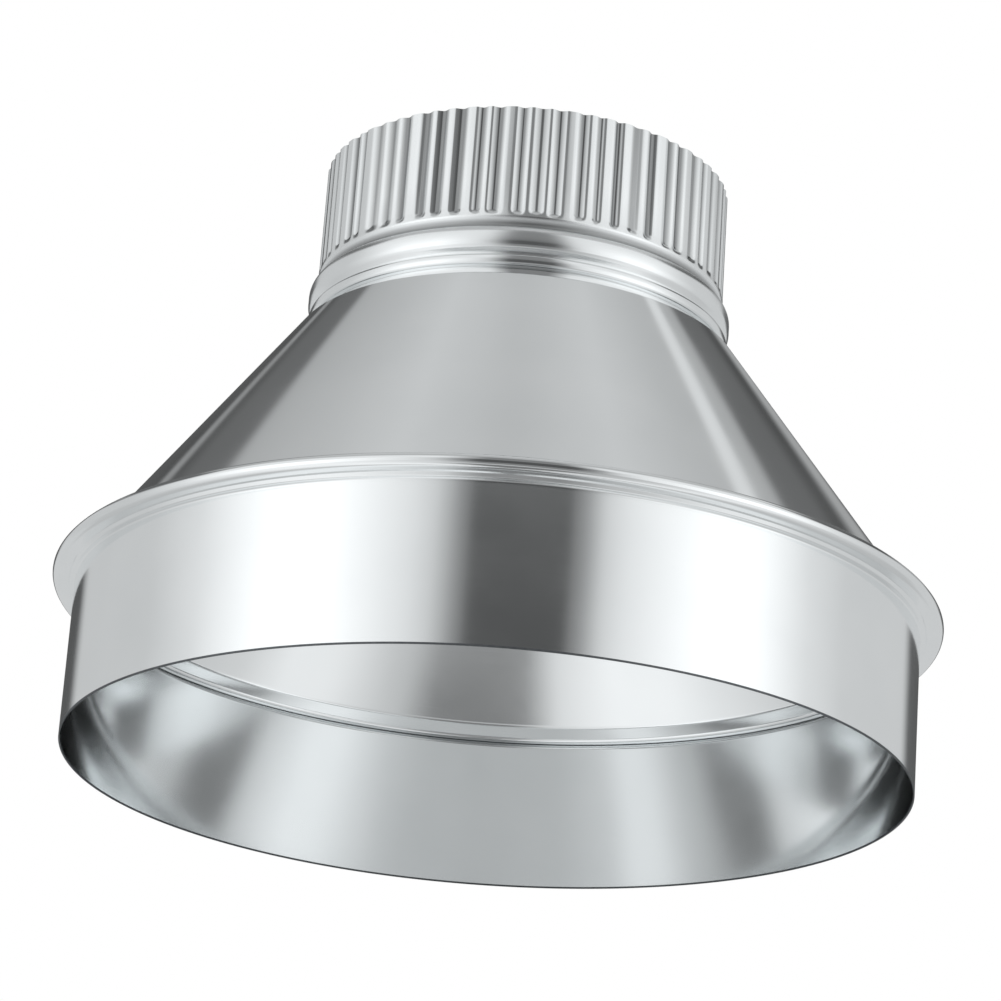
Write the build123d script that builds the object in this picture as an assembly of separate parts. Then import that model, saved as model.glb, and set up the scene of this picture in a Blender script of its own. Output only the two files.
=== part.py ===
"""Sheet-metal duct reducer: a plain collar, a taper and a crimped collar, joined by folded seams.

Millimetres, +Z up. The part stands on the open rim of its large collar, and the axis of the
duct is Z. The origin is the centre of that rim. Each piece is one sheet of even thickness,
so its section is drawn along the middle of the sheet and turned round the axis.
"""

import os
from math import atan2, cos, hypot, pi, radians, sin, tan

from build123d import *

# Sheet, and the gap between two sheets in a seam
sheet = 0.45
seam_clearance = 0.05

# Large collar, which slips over a 10 inch duct
collar_bore_radius = 127.0
collar_height = 47.8
ledge_width = 1.6
ledge_step_width = 0.55
ledge_step_height = 1.15

# Roll of the large seam, in which both sheets are curled over together
roll_reach = 7.4
roll_height = 4.3
roll_return = 1.0
roll_end_gap = 0.5

# Taper between the seams
band_inset = 1.2
band_height = 4.55
taper_angle = 35.8
shoulder_radius = 67.8
shoulder_rise = 1.3
throat_radius = 62.4
throat_height = 5.85
throat_reach = 1.3

# Crimped collar, which slips into a 5 inch duct
lip_radius = 64.9
lip_height = 3.6
lip_end_gap = 0.4
waist_radius = 63.2
waist_height = 0.95
bead_foot_height = 2.0
bead_reach = 2.3
bead_height = 5.4
bead_shoulder_height = 1.8
neck_depth = 2.0
neck_flare_height = 2.6
entry_radius = 63.0
entry_height = 1.7

# Crimps pressed into the small end
crimped_height = 34.4
crimp_count = 64
crimp_depth = 1.4
crimp_draw = 0.3
crest_bend = 2.4
runout_height = 4.0

# Bends, measured at the middle of the sheet
small_bend = 0.45
ledge_bend = 0.35
collar_bend = 0.8
lip_bend = 0.9
shoulder_bend = 0.8
band_bend = 2.4
bead_bend = 3.0
neck_bend = 1.5

half_sheet = sheet / 2
layer = sheet + seam_clearance


def ring_of_sheet(corners, bends):
    """Turn a sheet round the axis, given the corners of its middle line and their bends."""
    middle = FilletPolyline(*corners, radius=bends)
    section = Plane.XZ * trace(middle, line_width=sheet)
    return revolve(section, Axis.Z)


# Large collar: wall, ledge, a step up, and the outer sheet of the roll
collar_wall_radius = collar_bore_radius + half_sheet
ledge_z = collar_height + half_sheet
step_radius = collar_wall_radius + ledge_width
roll_wall_radius = collar_bore_radius + roll_reach - half_sheet
roll_bottom_z = ledge_z + ledge_step_height
roll_top_z = roll_bottom_z + roll_height - sheet
roll_bend = (roll_height - sheet) / 2 - 0.01
roll_end_radius = roll_wall_radius - roll_bend - roll_return
large_collar = ring_of_sheet(
    [
        (collar_wall_radius, 0),
        (collar_wall_radius, ledge_z),
        (step_radius, ledge_z),
        (step_radius + ledge_step_width, roll_bottom_z),
        (roll_wall_radius, roll_bottom_z),
        (roll_wall_radius, roll_top_z),
        (roll_end_radius, roll_top_z),
    ],
    [collar_bend, ledge_bend, ledge_bend, roll_bend, roll_bend],
)

# Taper: inner sheet of the roll, upright band, cone, shoulder and throat
band_radius = collar_bore_radius - band_inset
flange_z = roll_bottom_z + layer
band_top_z = flange_z + band_height
shoulder_z = band_top_z + (band_radius - shoulder_radius) / tan(radians(taper_angle))
throat_z = shoulder_z + shoulder_rise
throat_flange_z = throat_z + throat_height
taper_cone = ring_of_sheet(
    [
        (roll_end_radius + roll_end_gap, roll_top_z - layer),
        (roll_wall_radius - layer, roll_top_z - layer),
        (roll_wall_radius - layer, flange_z),
        (band_radius, flange_z),
        (band_radius, band_top_z),
        (shoulder_radius, shoulder_z),
        (throat_radius, throat_z),
        (throat_radius, throat_flange_z),
        (throat_radius + throat_reach, throat_flange_z),
    ],
    [
        roll_bend - layer,
        roll_bend - layer,
        collar_bend,
        band_bend,
        shoulder_bend,
        shoulder_bend,
        small_bend,
    ],
)

# Crimped collar's turned length: lip round the taper's flange, waist, bead, neck and entry
lip_top_z = throat_flange_z + sheet
lip_bottom_z = lip_top_z - (lip_height - sheet)
waist_top_z = lip_top_z + waist_height
bead_foot_z = waist_top_z + bead_foot_height
bead_shoulder_z = bead_foot_z + bead_height
neck_z = bead_shoulder_z + bead_shoulder_height
neck_flare_z = neck_z + neck_flare_height
entry_top_z = neck_flare_z + entry_height
entry_wall_radius = entry_radius - half_sheet
lip_wall_radius = lip_radius - half_sheet
bead_wall_radius = entry_radius + bead_reach - half_sheet
neck_radius = entry_radius - neck_depth
turned_length = ring_of_sheet(
    [
        (throat_radius + half_sheet + lip_end_gap, lip_bottom_z),
        (lip_wall_radius, lip_bottom_z),
        (lip_wall_radius, lip_top_z),
        (waist_radius, lip_top_z),
        (waist_radius, waist_top_z),
        (bead_wall_radius, bead_foot_z),
        (bead_wall_radius, bead_shoulder_z),
        (neck_radius, neck_z),
        (entry_wall_radius, neck_flare_z),
        (entry_wall_radius, entry_top_z),
    ],
    [lip_bend, lip_bend, small_bend, small_bend, bead_bend, bead_bend, neck_bend, small_bend],
)

# Crimps: a crest and a groove are arcs that meet with no corner, both round fixed centres
half_pitch = pi / crimp_count
crest_radius = entry_radius - crimp_draw
floor_radius = crest_radius - crimp_depth
crest_centre = crest_radius - crest_bend
floor_reach = floor_radius - crest_centre * cos(half_pitch)
groove_bend = (
    crest_bend**2 - (crest_centre * sin(half_pitch)) ** 2 - floor_reach**2
) / (2 * (floor_reach - crest_bend))
groove_centre = floor_radius + groove_bend


def on_circle(radius, angle):
    """Point at a radius and an angle in radians round the axis."""
    return (radius * cos(angle), radius * sin(angle))


def crimped_length(inset):
    """The crimped length as a filled solid, set in by a thickness of sheet.

    Both arcs keep their centres when they are set in, so the wall is even. The grooves fade
    into the plain entry up a cone at their lower ends.
    """
    share = (crest_bend - inset) / (crest_bend + groove_bend)
    meet_x = crest_centre + share * (groove_centre * cos(half_pitch) - crest_centre)
    meet_y = share * groove_centre * sin(half_pitch)
    meet_radius = hypot(meet_x, meet_y)
    meet_angle = atan2(meet_y, meet_x)
    arcs = []
    for crimp in range(crimp_count):
        crest = 2 * half_pitch * crimp
        start = on_circle(meet_radius, crest - meet_angle)
        middle = on_circle(meet_radius, crest + meet_angle)
        end = on_circle(meet_radius, crest + 2 * half_pitch - meet_angle)
        arcs.append(ThreePointArc(start, on_circle(crest_radius - inset, crest), middle))
        floor = on_circle(floor_radius - inset, crest + half_pitch)
        arcs.append(ThreePointArc(middle, floor, end))
    outline = make_face(Wire(arcs))
    runout = Cone(
        entry_radius - inset,
        floor_radius - inset,
        runout_height,
        align=(Align.CENTER, Align.CENTER, Align.MIN),
    )
    return Pos(0, 0, entry_top_z) * (extrude(outline, crimped_height) + runout)


crimped_collar = turned_length + (crimped_length(0) - crimped_length(sheet))

os.makedirs("parts", exist_ok=True)
pieces = {
    "large_collar": large_collar,
    "taper_cone": taper_cone,
    "crimped_collar": crimped_collar,
}
for name, piece in pieces.items():
    piece.label = name
    export_step(piece, f"parts/{name}.step")
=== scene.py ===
import math
import random

import bmesh
import bpy
from mathutils import Matrix


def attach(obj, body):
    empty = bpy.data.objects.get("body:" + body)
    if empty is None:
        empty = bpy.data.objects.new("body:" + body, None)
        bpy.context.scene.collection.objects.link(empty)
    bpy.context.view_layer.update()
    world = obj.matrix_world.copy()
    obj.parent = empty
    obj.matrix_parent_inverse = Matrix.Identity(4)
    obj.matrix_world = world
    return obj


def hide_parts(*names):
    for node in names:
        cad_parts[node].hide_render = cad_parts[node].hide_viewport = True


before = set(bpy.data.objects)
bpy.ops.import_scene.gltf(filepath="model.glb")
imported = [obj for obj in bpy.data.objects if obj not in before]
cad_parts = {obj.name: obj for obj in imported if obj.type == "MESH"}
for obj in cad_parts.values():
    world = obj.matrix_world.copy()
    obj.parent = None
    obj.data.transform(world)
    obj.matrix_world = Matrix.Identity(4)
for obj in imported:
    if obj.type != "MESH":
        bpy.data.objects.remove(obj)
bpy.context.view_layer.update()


# Large collar
# A straight band of galvanised sheet, open at the bottom. Its top edge is turned out into a
# narrow ledge, stepped up, and rolled over together with the edge of the taper.
MM = 0.001
SHEET = 0.45 * MM
SEAM_GAP = 0.05 * MM
LAYER = SHEET + SEAM_GAP


def bent_path(corners, bends, arc_steps):
    """Radii and heights along a sheet's middle line, with each corner rolled to its bend."""
    hold = 0.25 * MM
    long_run = 9 * MM
    path = [corners[0]]
    for before, corner, after, bend, steps in zip(
        corners, corners[1:], corners[2:], bends, arc_steps
    ):
        come = (corner[0] - before[0], corner[1] - before[1])
        go = (after[0] - corner[0], after[1] - corner[1])
        come_length, go_length = math.hypot(*come), math.hypot(*go)
        come = (come[0] / come_length, come[1] / come_length)
        go = (go[0] / go_length, go[1] / go_length)
        turn = math.atan2(come[0] * go[1] - come[1] * go[0], come[0] * go[0] + come[1] * go[1])
        side = math.copysign(1, turn)
        reach = bend * math.tan(abs(turn) / 2)
        start = (corner[0] - come[0] * reach, corner[1] - come[1] * reach)
        middle = (start[0] - side * come[1] * bend, start[1] + side * come[0] * bend)
        if come_length > long_run:
            path.append((start[0] - come[0] * hold, start[1] - come[1] * hold))
        for step in range(steps + 1):
            angle = turn * step / steps
            out = (start[0] - middle[0], start[1] - middle[1])
            path.append((
                middle[0] + out[0] * math.cos(angle) - out[1] * math.sin(angle),
                middle[1] + out[0] * math.sin(angle) + out[1] * math.cos(angle),
            ))
        if go_length > long_run:
            path.append((path[-1][0] + go[0] * hold, path[-1][1] + go[1] * hold))
    path.append(corners[-1])
    return path


def roll_up(name, path, columns):
    """Start a ring from one circle and extrude it from point to point along a path."""
    radius, height = path[0]
    bpy.ops.object.select_all(action="DESELECT")
    bpy.ops.mesh.primitive_circle_add(
        vertices=columns, radius=radius, fill_type="NOTHING", location=(0, 0, height)
    )
    ring = bpy.context.object
    ring.name = name
    bpy.ops.object.transform_apply(location=True, rotation=True, scale=True)
    bpy.ops.object.mode_set(mode="EDIT")
    bpy.ops.mesh.select_all(action="SELECT")
    for (old_radius, old_height), (radius, height) in zip(path, path[1:]):
        bpy.ops.mesh.extrude_edges_move(
            TRANSFORM_OT_translate={"value": (0, 0, height - old_height)}
        )
        stretch = radius / old_radius
        bpy.ops.transform.resize(value=(stretch, stretch, 1), center_override=(0, 0, 0))
    bpy.ops.object.mode_set(mode="OBJECT")
    return ring


def give_thickness(ring, zinc, cut_edge):
    """Give a rolled-up sheet its wall and materials, and shade its bends smooth."""
    ring.data.materials.clear()
    ring.data.materials.append(zinc)
    ring.data.materials.append(cut_edge)
    wall = ring.modifiers.new("wall", "SOLIDIFY")
    wall.thickness = SHEET
    wall.offset = 0
    wall.use_even_offset = True
    wall.use_rim = True
    wall.material_offset_rim = 1
    bpy.ops.object.modifier_apply(modifier="wall")
    bpy.ops.object.mode_set(mode="EDIT")
    bpy.ops.mesh.select_all(action="SELECT")
    bpy.ops.mesh.normals_make_consistent(inside=False)
    bpy.ops.object.mode_set(mode="OBJECT")
    bpy.ops.object.shade_smooth_by_angle(angle=math.radians(40))


def zinc_finish():
    """Node group for the zinc: rolling grain round the sheet, cloudy patches, shallow waves."""
    group = bpy.data.node_groups.new("zinc_finish", "ShaderNodeTree")
    sockets = group.interface
    sockets.new_socket("Grain", in_out="INPUT", socket_type="NodeSocketFloat")
    sockets.new_socket("Waves", in_out="INPUT", socket_type="NodeSocketFloat")
    sockets.new_socket("Dullness", in_out="INPUT", socket_type="NodeSocketFloat")
    sockets.new_socket("Color", in_out="OUTPUT", socket_type="NodeSocketColor")
    sockets.new_socket("Roughness", in_out="OUTPUT", socket_type="NodeSocketFloat")
    sockets.new_socket("Height", in_out="OUTPUT", socket_type="NodeSocketFloat")
    nodes, link = group.nodes, group.links.new
    given = nodes.new("NodeGroupInput")
    result = nodes.new("NodeGroupOutput")
    place = nodes.new("ShaderNodeTexCoord")
    split = nodes.new("ShaderNodeSeparateXYZ")
    link(place.outputs["Object"], split.inputs[0])
    around = nodes.new("ShaderNodeMath")
    around.operation = "ARCTAN2"
    link(split.outputs["Y"], around.inputs[0])
    link(split.outputs["X"], around.inputs[1])
    unrolled = nodes.new("ShaderNodeCombineXYZ")
    link(around.outputs[0], unrolled.inputs["X"])
    link(split.outputs["Z"], unrolled.inputs["Z"])
    stretch = nodes.new("ShaderNodeMapping")
    stretch.inputs["Scale"].default_value = (1.5, 1.0, 900.0)
    link(unrolled.outputs[0], stretch.inputs["Vector"])
    grain = nodes.new("ShaderNodeTexNoise")
    grain.inputs["Scale"].default_value = 4.0
    grain.inputs["Detail"].default_value = 4.0
    link(stretch.outputs[0], grain.inputs["Vector"])
    clouds = nodes.new("ShaderNodeTexNoise")
    clouds.inputs["Scale"].default_value = 38.0
    clouds.inputs["Detail"].default_value = 5.0
    link(place.outputs["Object"], clouds.inputs["Vector"])
    waves = nodes.new("ShaderNodeTexNoise")
    waves.inputs["Scale"].default_value = 9.0
    waves.inputs["Detail"].default_value = 1.0
    link(place.outputs["Object"], waves.inputs["Vector"])
    tint = nodes.new("ShaderNodeValToRGB")
    tint.color_ramp.elements[0].position = 0.3
    tint.color_ramp.elements[0].color = (0.895, 0.912, 0.918, 1)
    tint.color_ramp.elements[1].position = 0.7
    tint.color_ramp.elements[1].color = (0.93, 0.945, 0.95, 1)
    link(clouds.outputs["Fac"], tint.inputs["Fac"])
    link(tint.outputs["Color"], result.inputs["Color"])
    polish = nodes.new("ShaderNodeMapRange")
    polish.inputs["From Min"].default_value = 0.3
    polish.inputs["From Max"].default_value = 0.7
    polish.inputs["To Min"].default_value = 0.07
    polish.inputs["To Max"].default_value = 0.11
    link(clouds.outputs["Fac"], polish.inputs["Value"])
    brushed = nodes.new("ShaderNodeMath")
    brushed.operation = "MULTIPLY_ADD"
    link(grain.outputs["Fac"], brushed.inputs[0])
    brushed.inputs[1].default_value = 0.04
    link(polish.outputs["Result"], brushed.inputs[2])
    dulled = nodes.new("ShaderNodeMath")
    dulled.operation = "ADD"
    link(brushed.outputs[0], dulled.inputs[0])
    link(given.outputs["Dullness"], dulled.inputs[1])
    link(dulled.outputs[0], result.inputs["Roughness"])
    fine = nodes.new("ShaderNodeMath")
    fine.operation = "MULTIPLY"
    link(grain.outputs["Fac"], fine.inputs[0])
    link(given.outputs["Grain"], fine.inputs[1])
    height = nodes.new("ShaderNodeMath")
    height.operation = "MULTIPLY_ADD"
    link(waves.outputs["Fac"], height.inputs[0])
    link(given.outputs["Waves"], height.inputs[1])
    link(fine.outputs[0], height.inputs[2])
    link(height.outputs[0], result.inputs["Height"])
    return group


zinc = zinc_finish()


def galvanised(name, grain, waves):
    """Bright galvanised sheet, with as much grain and wave as a piece has."""
    material = bpy.data.materials.new(name)
    material.use_nodes = True
    nodes, link = material.node_tree.nodes, material.node_tree.links.new
    shader = nodes["Principled BSDF"]
    shader.inputs["Metallic"].default_value = 1.0
    finish = nodes.new("ShaderNodeGroup")
    finish.node_tree = zinc
    finish.inputs["Grain"].default_value = grain
    finish.inputs["Waves"].default_value = waves
    link(finish.outputs["Color"], shader.inputs["Base Color"])
    link(finish.outputs["Roughness"], shader.inputs["Roughness"])
    bump = nodes.new("ShaderNodeBump")
    bump.inputs["Distance"].default_value = 1 * MM
    bump.inputs["Strength"].default_value = 1.0
    link(finish.outputs["Height"], bump.inputs["Height"])
    link(bump.outputs["Normal"], shader.inputs["Normal"])
    return material


def sheared_edge():
    """The cut edge of the sheet, where the shears left dull bare steel with a torn grain."""
    material = bpy.data.materials.new("cut_edge")
    material.use_nodes = True
    nodes, link = material.node_tree.nodes, material.node_tree.links.new
    shader = nodes["Principled BSDF"]
    shader.inputs["Metallic"].default_value = 1.0
    shader.inputs["Roughness"].default_value = 0.55
    place = nodes.new("ShaderNodeTexCoord")
    torn = nodes.new("ShaderNodeTexNoise")
    torn.inputs["Scale"].default_value = 900.0
    link(place.outputs["Object"], torn.inputs["Vector"])
    steel = nodes.new("ShaderNodeValToRGB")
    steel.color_ramp.elements[0].color = (0.10, 0.11, 0.12, 1)
    steel.color_ramp.elements[1].color = (0.22, 0.23, 0.24, 1)
    link(torn.outputs["Fac"], steel.inputs["Fac"])
    link(steel.outputs["Color"], shader.inputs["Base Color"])
    return material


cut_edge = sheared_edge()


def finish_piece(piece, node):
    """Let a piece stand for its CAD node on the one body."""
    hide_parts(node)
    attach(piece, "root")


COLUMNS = 384
COLLAR_WALL = 127.225 * MM
COLLAR_BEND = 0.8 * MM
LEDGE_Z = 48.025 * MM
LEDGE_WIDTH = 1.6 * MM
LEDGE_BEND = 0.35 * MM
STEP_FOOT = COLLAR_WALL + LEDGE_WIDTH
STEP_TOP = STEP_FOOT + 0.55 * MM
STEP_HEIGHT = 1.15 * MM
ROLL_WALL = 134.175 * MM
ROLL_BOTTOM = LEDGE_Z + STEP_HEIGHT
ROLL_TOP = ROLL_BOTTOM + 3.85 * MM
ROLL_BEND = 1.915 * MM
ROLL_RETURN = 1.0 * MM
ROLL_END = ROLL_WALL - ROLL_BEND - ROLL_RETURN
EDGE_BAND = 0.5 * MM
collar_path = bent_path(
    [
        (COLLAR_WALL, 0.0),
        (COLLAR_WALL, LEDGE_Z),
        (STEP_FOOT, LEDGE_Z),
        (STEP_TOP, ROLL_BOTTOM),
        (ROLL_WALL, ROLL_BOTTOM),
        (ROLL_WALL, ROLL_TOP),
        (ROLL_END, ROLL_TOP),
    ],
    [COLLAR_BEND, LEDGE_BEND, LEDGE_BEND, ROLL_BEND, ROLL_BEND],
    [6, 4, 4, 9, 8],
)
collar_path.insert(1, (COLLAR_WALL, EDGE_BAND))
collar = roll_up("collar", collar_path, COLUMNS)
give_thickness(collar, galvanised("collar_zinc", 0.0012, 0.10), cut_edge)
for face in collar.data.polygons:
    if face.center.z < EDGE_BAND:
        face.material_index = 1
finish_piece(collar, "large_collar")


# Taper
# A cone of the same sheet. Its foot is a short upright band, with a flange whose edge is curled
# up inside the collar's roll. Its top turns in over a small shoulder to a throat with a flange.
BAND = 125.8 * MM
BAND_FOOT = ROLL_BOTTOM + LAYER
BAND_TOP = BAND_FOOT + 4.55 * MM
BAND_BEND = 2.4 * MM
TAPER_ANGLE = math.radians(35.8)
SHOULDER = 67.8 * MM
SHOULDER_Z = BAND_TOP + (BAND - SHOULDER) / math.tan(TAPER_ANGLE)
SHOULDER_BEND = 0.8 * MM
THROAT = 62.4 * MM
THROAT_Z = SHOULDER_Z + 1.3 * MM
THROAT_FLANGE = THROAT + 1.3 * MM
THROAT_FLANGE_Z = THROAT_Z + 5.85 * MM
SMALL_BEND = 0.45 * MM
INNER_END = ROLL_END + 0.5 * MM
INNER_BEND = ROLL_BEND - LAYER
taper_path = bent_path(
    [
        (INNER_END, ROLL_TOP - LAYER),
        (ROLL_WALL - LAYER, ROLL_TOP - LAYER),
        (ROLL_WALL - LAYER, BAND_FOOT),
        (BAND, BAND_FOOT),
        (BAND, BAND_TOP),
        (SHOULDER, SHOULDER_Z),
        (THROAT, THROAT_Z),
        (THROAT, THROAT_FLANGE_Z),
        (THROAT_FLANGE, THROAT_FLANGE_Z),
    ],
    [INNER_BEND, INNER_BEND, COLLAR_BEND, BAND_BEND, SHOULDER_BEND, SHOULDER_BEND, SMALL_BEND],
    [6, 6, 6, 8, 6, 6, 4],
)
taper = roll_up("taper", taper_path, COLUMNS)
give_thickness(taper, galvanised("taper_zinc", 0.0012, 0.12), cut_edge)
finish_piece(taper, "taper_cone")


# Crimped collar
# One more ring of sheet. Its foot is folded down round the taper's flange, a stop bead is rolled
# above that, and toothed rolls have pressed the grooves into the end that enters the duct.
LIP = 64.675 * MM
LIP_END = THROAT + SHEET / 2 + SEAM_GAP
LIP_TOP = THROAT_FLANGE_Z + SHEET
LIP_BOTTOM = LIP_TOP - 3.15 * MM
LIP_BEND = 0.9 * MM
WAIST = 63.2 * MM
WAIST_TOP = LIP_TOP + 0.95 * MM
BEAD = 65.075 * MM
BEAD_FOOT = WAIST_TOP + 2.0 * MM
BEAD_SHOULDER = BEAD_FOOT + 5.4 * MM
BEAD_BEND = 3.0 * MM
NECK = 61.0 * MM
NECK_Z = BEAD_SHOULDER + 1.8 * MM
NECK_BEND = 1.5 * MM
ENTRY = 62.775 * MM
ENTRY_Z = NECK_Z + 2.6 * MM
ENTRY_BEND = 1.2 * MM
RIM = ENTRY_Z + 36.1 * MM
CRIMPS = 64
COLUMNS_PER_CRIMP = 12
CRIMP_START = ENTRY_Z + 0.4 * MM
RUNOUT = 2.6 * MM
RUNOUT_TOP = CRIMP_START + RUNOUT
RUNOUT_RINGS = 6
WALL_RINGS = 4
crimped_path = bent_path(
    [
        (LIP_END, LIP_BOTTOM),
        (LIP, LIP_BOTTOM),
        (LIP, LIP_TOP),
        (WAIST, LIP_TOP),
        (WAIST, WAIST_TOP),
        (BEAD, BEAD_FOOT),
        (BEAD, BEAD_SHOULDER),
        (NECK, NECK_Z),
        (ENTRY, ENTRY_Z),
        (ENTRY, CRIMP_START),
    ],
    [LIP_BEND, LIP_BEND, SMALL_BEND, SMALL_BEND, BEAD_BEND, BEAD_BEND, NECK_BEND, ENTRY_BEND],
    [5, 5, 3, 3, 6, 7, 7, 4],
)
for ring in range(1, RUNOUT_RINGS + 1):
    crimped_path.append((ENTRY, CRIMP_START + RUNOUT * ring / RUNOUT_RINGS))
for ring in range(1, WALL_RINGS + 1):
    crimped_path.append((ENTRY, RUNOUT_TOP + (RIM - RUNOUT_TOP) * ring / WALL_RINGS))
crimped = roll_up("crimped", crimped_path, CRIMPS * COLUMNS_PER_CRIMP)

# No two grooves are quite alike, as the toothed rolls leave them
CRIMP_DEPTH = 1.0 * MM
CRIMP_DRAW = 0.1 * MM
CRIMP_LEAD = 0.15 * MM
random.seed(11)
pitch = 2 * math.pi / CRIMPS
grooves = []
for crimp in range(CRIMPS):
    grooves.append({
        "middle": (crimp + 0.5 + random.uniform(-0.14, 0.14)) * pitch,
        "half_width": random.uniform(0.3, 0.5) * pitch,
        "depth": random.uniform(0.65, 1.15) * CRIMP_DEPTH,
        "runout": random.uniform(0.7, 1.0) * RUNOUT,
    })


def groove_depth(groove, angle, above):
    """How deep a groove is at an angle round the collar and a height above the crimps' foot."""
    offset = math.remainder(angle - groove["middle"], 2 * math.pi) / groove["half_width"]
    if abs(offset) >= 1:
        return 0.0
    reach = min(1.0, above / groove["runout"])
    fade = reach * reach * (3 - 2 * reach)
    return groove["depth"] * fade * (0.5 + 0.5 * math.cos(math.pi * offset))


mesh = bmesh.new()
mesh.from_mesh(crimped.data)
for vertex in mesh.verts:
    x, y, z = vertex.co
    above = z - CRIMP_START
    if above <= 1e-6:
        continue
    angle = math.atan2(y, x) % (2 * math.pi)
    crimp = int(angle / pitch)
    near = [grooves[number % CRIMPS] for number in (crimp - 1, crimp, crimp + 1)]
    deep = max(groove_depth(groove, angle, above) for groove in near)
    draw = CRIMP_DRAW * min(1.0, above / RUNOUT)
    lead = CRIMP_LEAD * above / (RIM - CRIMP_START)
    radius = math.hypot(x, y) - deep - draw - lead
    vertex.co = (radius * math.cos(angle), radius * math.sin(angle), z)
mesh.to_mesh(crimped.data)
mesh.free()


def crimped_zinc():
    """The zinc of the crimped collar, with painted shade darkening its grooves, and dulled where
    the rolls bent it.
    """
    material = galvanised("crimped_zinc", 0.0004, 0.04)
    nodes, link = material.node_tree.nodes, material.node_tree.links.new
    finish = nodes["Group"]
    place = nodes.new("ShaderNodeTexCoord")
    flatten = nodes.new("ShaderNodeVectorMath")
    flatten.operation = "MULTIPLY"
    flatten.inputs[1].default_value = (1, 1, 0)
    link(place.outputs["Object"], flatten.inputs[0])
    from_axis = nodes.new("ShaderNodeVectorMath")
    from_axis.operation = "LENGTH"
    link(flatten.outputs["Vector"], from_axis.inputs[0])
    # Painted shade: the base colour darkens towards the bottom of each groove, the deeper the
    # darker, down to a third at the deepest
    brightness = nodes.new("ShaderNodeMapRange")
    brightness.inputs["From Min"].default_value = ENTRY - 0.9 * MM
    brightness.inputs["From Max"].default_value = ENTRY - 0.1 * MM
    brightness.inputs["To Min"].default_value = 0.34
    brightness.inputs["To Max"].default_value = 1.0
    link(from_axis.outputs["Value"], brightness.inputs["Value"])
    paint_groove_shade = nodes.new("ShaderNodeMix")
    paint_groove_shade.data_type = "RGBA"
    paint_groove_shade.blend_type = "MULTIPLY"
    paint_groove_shade.inputs["Factor"].default_value = 1.0
    link(finish.outputs["Color"], paint_groove_shade.inputs["A"])
    link(brightness.outputs["Result"], paint_groove_shade.inputs["B"])
    link(paint_groove_shade.outputs["Result"], nodes["Principled BSDF"].inputs["Base Color"])
    apart = nodes.new("ShaderNodeSeparateXYZ")
    link(place.outputs["Object"], apart.inputs[0])
    rise = nodes.new("ShaderNodeMapRange")
    rise.inputs["From Min"].default_value = WAIST_TOP
    rise.inputs["From Max"].default_value = RUNOUT_TOP
    link(apart.outputs["Z"], rise.inputs["Value"])
    dullness = nodes.new("ShaderNodeValToRGB")
    elements = dullness.color_ramp.elements
    elements.remove(elements[-1])
    stops = [
        (WAIST_TOP, 0.03),
        (BEAD_SHOULDER - 1.5 * MM, 0.09),
        (BEAD_SHOULDER + 0.6 * MM, 0.28),
        (ENTRY_Z - 0.6 * MM, 0.28),
        (CRIMP_START, 0.08),
        (RUNOUT_TOP, 0.0),
    ]
    for number, (stop_z, extra) in enumerate(stops):
        position = (stop_z - WAIST_TOP) / (RUNOUT_TOP - WAIST_TOP)
        stop = elements[0] if number == 0 else elements.new(position)
        stop.position = position
        stop.color = (extra, extra, extra, 1)
    link(rise.outputs["Result"], dullness.inputs["Fac"])
    link(dullness.outputs["Color"], finish.inputs["Dullness"])
    return material


give_thickness(crimped, crimped_zinc(), cut_edge)
finish_piece(crimped, "crimped_collar")


# Floor
# A pale floor far below the part, because the photograph looks up from under it. The metal
# mirrors the low side of the studio in its place.
FLOOR_SIZE = 8
FLOOR_DROP = 0.62
bpy.ops.object.select_all(action="DESELECT")
bpy.ops.mesh.primitive_plane_add(size=FLOOR_SIZE, location=(0, 0, -FLOOR_DROP))
floor = bpy.context.object
floor.name = "floor"
floor.visible_glossy = False
paper = bpy.data.materials.new("floor_paper")
paper.use_nodes = True
paper.node_tree.nodes["Principled BSDF"].inputs["Base Color"].default_value = (0.8, 0.8, 0.8, 1)
paper.node_tree.nodes["Principled BSDF"].inputs["Roughness"].default_value = 0.9
floor.data.materials.append(paper)


# Studio light
# A white room with two broad softboxes in front, a dark gap between them where the camera
# stands, and dark drapes behind the part. It is a wide shell of soft light round the part,
# and the camera looks through it.
SHELL_RADIUS = 30
bpy.ops.object.select_all(action="DESELECT")
bpy.ops.mesh.primitive_uv_sphere_add(segments=32, ring_count=16, radius=SHELL_RADIUS)
shell = bpy.context.object
shell.name = "studio_shell"
shell.visible_camera = False
surround = bpy.data.materials.new("studio_surround")
surround.use_nodes = True
nodes, link = surround.node_tree.nodes, surround.node_tree.links.new
nodes.clear()


def math_node(operation, first, second=0.0, clamp=False):
    """One step of arithmetic on a number or a socket, in the open node tree."""
    node = nodes.new("ShaderNodeMath")
    node.operation = operation
    node.use_clamp = clamp
    for socket, value in zip(node.inputs, (first, second)):
        if isinstance(value, (int, float)):
            socket.default_value = value
        else:
            link(value, socket)
    return node.outputs[0]


def levels(angle, low, high, stops):
    """Brightness along an angle in degrees, given as stops between a low and a high angle."""
    share = math_node("DIVIDE", math_node("SUBTRACT", angle, low), high - low)
    node = nodes.new("ShaderNodeValToRGB")
    elements = node.color_ramp.elements
    elements.remove(elements[-1])
    for number, (stop_angle, brightness) in enumerate(stops):
        position = (stop_angle - low) / (high - low)
        stop = elements[0] if number == 0 else elements.new(position)
        stop.position = position
        stop.color = (brightness, brightness, brightness, 1)
    link(share, node.inputs["Fac"])
    return node.outputs["Color"]


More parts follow.
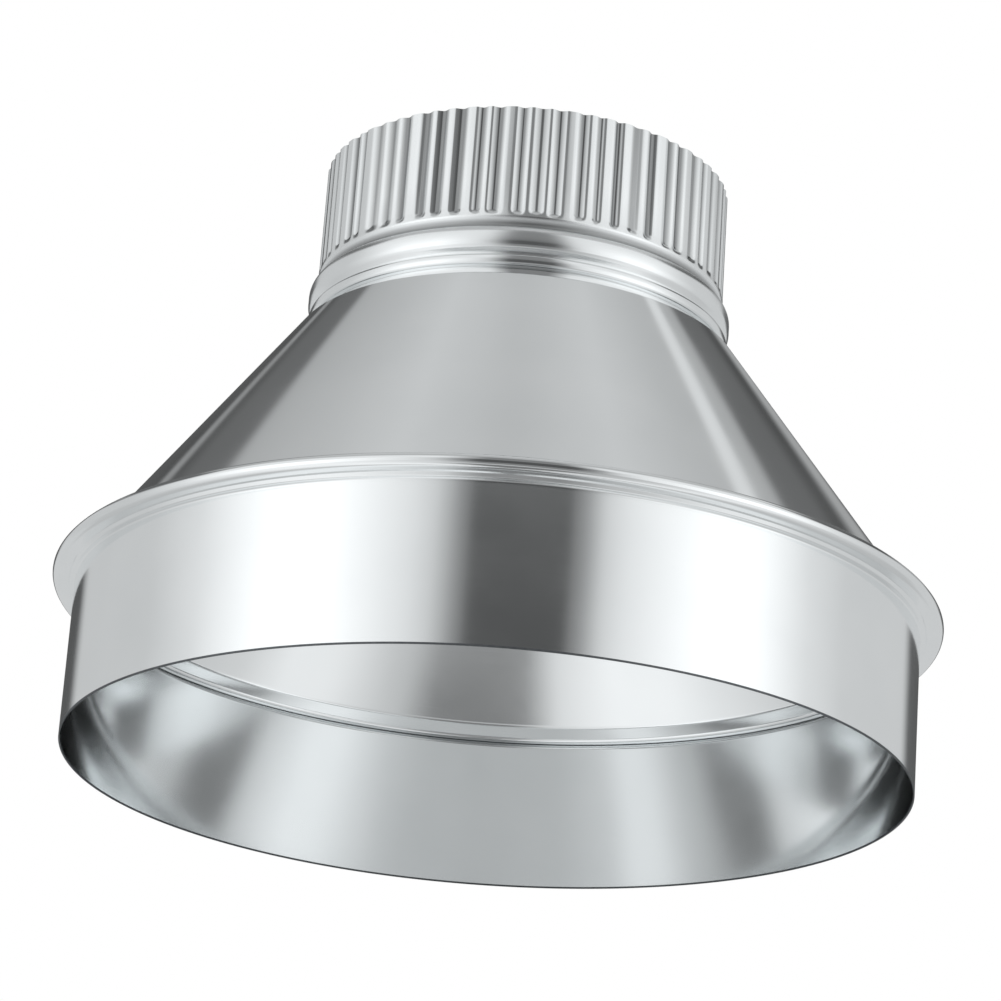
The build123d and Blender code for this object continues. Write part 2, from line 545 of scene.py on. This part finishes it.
def window(angle, low, high, soft):
    """1 between two angles in degrees, falling to 0 over a soft edge on either side."""
    rise = math_node("DIVIDE", math_node("SUBTRACT", angle, low - soft), soft, clamp=True)
    fall = math_node("DIVIDE", math_node("SUBTRACT", high + soft, angle), soft, clamp=True)
    return math_node("MULTIPLY", rise, fall)


def cover(under, over, mask):
    """Lay one brightness over another where a mask is 1."""
    gain = math_node("SUBTRACT", over, under)
    return math_node("ADD", under, math_node("MULTIPLY", gain, mask))


place = nodes.new("ShaderNodeTexCoord")
direction = nodes.new("ShaderNodeVectorMath")
direction.operation = "NORMALIZE"
link(place.outputs["Object"], direction.inputs[0])
parts = nodes.new("ShaderNodeSeparateXYZ")
link(direction.outputs["Vector"], parts.inputs[0])
towards_camera = math_node("MULTIPLY", parts.outputs["Y"], -1.0)
turned = math_node("ARCTAN2", parts.outputs["X"], towards_camera)
azimuth = math_node("MULTIPLY", turned, math.degrees(1))
elevation = math_node("MULTIPLY", math_node("ARCSINE", parts.outputs["Z"]), math.degrees(1))
to_side = math_node("ABSOLUTE", azimuth)

# Brightness round the room at eye level, below it, above it, and overhead in front
around = levels(azimuth, -180, 180, [
    (-180, 0.1), (-152, 0.1), (-145, 0.62), (-105, 0.64), (-87, 0.82), (-66, 1.24),
    (-46, 1.28), (-24, 0.86), (-14, 0.58), (-8, 0.095), (17, 0.095), (25, 0.66), (33, 0.9),
    (56, 1.28), (72, 1.24), (90, 0.83), (105, 0.68), (143, 0.66), (150, 0.12), (180, 0.1),
])
low = levels(azimuth, -180, 180, [
    (-180, 0.54), (-125, 0.58), (-105, 0.68), (-88, 0.84), (-68, 1.04), (-48, 1.06),
    (-30, 0.86), (-8, 0.60), (24, 0.50), (40, 0.64), (60, 0.94), (76, 0.96), (90, 0.72),
    (125, 0.57), (180, 0.54),
])
high = levels(elevation, 0, 90, [
    (24, 0.07), (37, 0.09), (41, 0.15), (48.5, 0.16), (50.5, 0.45), (64, 0.55), (75, 0.66),
    (83, 0.6), (90, 0.53),
])
overhead = levels(elevation, 0, 90, [
    (24, 0.9), (46, 0.9), (58, 0.52), (75, 0.5), (83, 0.58), (90, 0.53),
])
level = cover(around, low, window(elevation, -91, -23, 7))
level = cover(level, high, window(elevation, 34, 91, 6))
in_front = math_node("MULTIPLY", window(to_side, -1, 84, 14), window(elevation, 27, 91, 7))
level = cover(level, overhead, in_front)
gap = math_node("MULTIPLY", window(azimuth, -6, 15, 12), window(elevation, -38, 56, 6))
level = cover(level, math_node("MINIMUM", level, 0.24), gap)

above_drapes = (0.68, window(to_side, 138, 181, 8), window(elevation, -22, 4, 6))
camera_foot = (0.21, window(azimuth, -13, 22, 13), window(elevation, -91, -54, 2.5))
right_lamp = (0.8, window(azimuth, 90, 181, 20), window(elevation, 54.8, 57, 1.2))
left_lamp = (0.32, window(azimuth, -181, -100, 15), window(elevation, 34.2, 35.8, 1.2))
right_glow = (0.4, window(azimuth, 138, 172, 8), window(elevation, 27, 31, 4))
for brightness, across, upright in (above_drapes, camera_foot, right_lamp, left_lamp, right_glow):
    level = cover(level, brightness, math_node("MULTIPLY", across, upright))

tinted = nodes.new("ShaderNodeCombineColor")
link(math_node("MULTIPLY", level, 0.905), tinted.inputs["Red"])
link(math_node("MULTIPLY", level, 0.92), tinted.inputs["Green"])
link(math_node("MULTIPLY", level, 0.926), tinted.inputs["Blue"])
glow = nodes.new("ShaderNodeEmission")
link(tinted.outputs["Color"], glow.inputs["Color"])
lamp = nodes.new("ShaderNodeOutputMaterial")
link(glow.outputs[0], lamp.inputs["Surface"])
shell.data.materials.append(surround)


# Background
# White beyond the shell, for all rays that look at a thing or through it, and a plain grey for
# the rest. The camera sees it straight through the shell, which stands before it elsewhere.
world = bpy.data.worlds.new("studio")
bpy.context.scene.world = world
world.use_nodes = True
nodes, link = world.node_tree.nodes, world.node_tree.links.new
nodes.clear()
lit = nodes.new("ShaderNodeBackground")
lit.inputs["Color"].default_value = (0.6, 0.6, 0.6, 1)
white = nodes.new("ShaderNodeBackground")
white.inputs["Color"].default_value = (1, 1, 1, 1)
seen = nodes.new("ShaderNodeLightPath")
seen_or_mirrored = math_node(
    "ADD", seen.outputs["Is Camera Ray"], seen.outputs["Is Glossy Ray"], clamp=True
)
seen_at_all = math_node(
    "ADD", seen_or_mirrored, seen.outputs["Is Transmission Ray"], clamp=True
)
choice = nodes.new("ShaderNodeMixShader")
link(seen_at_all, choice.inputs[0])
link(lit.outputs[0], choice.inputs[1])
link(white.outputs[0], choice.inputs[2])
surface = nodes.new("ShaderNodeOutputWorld")
link(choice.outputs[0], surface.inputs["Surface"])


# Camera
# The photograph looks up at the open end from below, through a long lens, with the camera
# rolled a little to one side.
CAMERA_BACK = 1.1853
CAMERA_DROP = 0.3399
CAMERA_YAW = math.radians(0.073)
CAMERA_TILT = math.radians(19.85)
CAMERA_ROLL = math.radians(4.14)
SENSOR = 36
PICTURE_WIDTH = 1001
FOCAL_PIXELS = 4125
camera_data = bpy.data.cameras.new("camera")
camera = bpy.data.objects.new("camera", camera_data)
bpy.context.collection.objects.link(camera)
camera_data.sensor_width = SENSOR
camera_data.lens = SENSOR * FOCAL_PIXELS / PICTURE_WIDTH
camera.location = (0, -CAMERA_BACK, -CAMERA_DROP)
look = Matrix.Rotation(CAMERA_YAW, 3, "Z")
look = look @ Matrix.Rotation(math.radians(90) + CAMERA_TILT, 3, "X")
look = look @ Matrix.Rotation(CAMERA_ROLL, 3, "Z")
camera.rotation_euler = look.to_euler()
bpy.context.scene.camera = camera
bpy.context.scene.view_settings.view_transform = "Standard"
